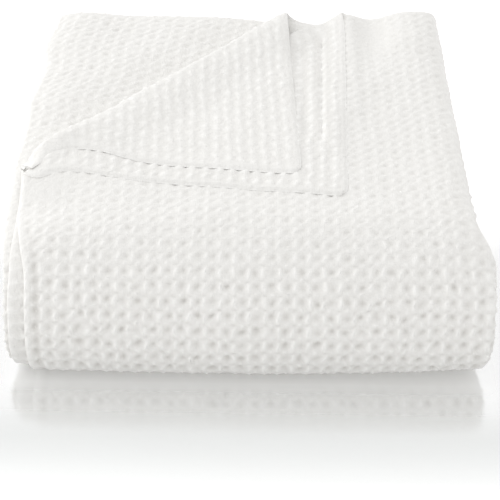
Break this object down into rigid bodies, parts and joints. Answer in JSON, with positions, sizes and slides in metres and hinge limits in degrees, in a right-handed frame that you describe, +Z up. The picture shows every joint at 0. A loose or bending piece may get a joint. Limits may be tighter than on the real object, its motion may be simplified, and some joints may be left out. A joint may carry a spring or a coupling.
{
  "type": "waffle weave cotton blanket, folded",
  "caption": "White waffle weave cotton blanket folded into a thick soft stack, rounded at the front, with the corners of its upper plies turned back over the top.",
  "frame": {"origin": "middle of the stack's box, on the surface it rests on", "axes": "+Z up; +Y from the rounded front fold to the back, where the hem lies; +X to the right, from the selvedges to the double fold"},
  "size_m": [0.4212, 0.421, 0.1379],
  "materials": {
    "white_cotton": "matt woven cotton with a raised waffle relief"
  },
  "bodies": {
    "root": {"blanket": "white_cotton"}
  },
  "joints": []
}
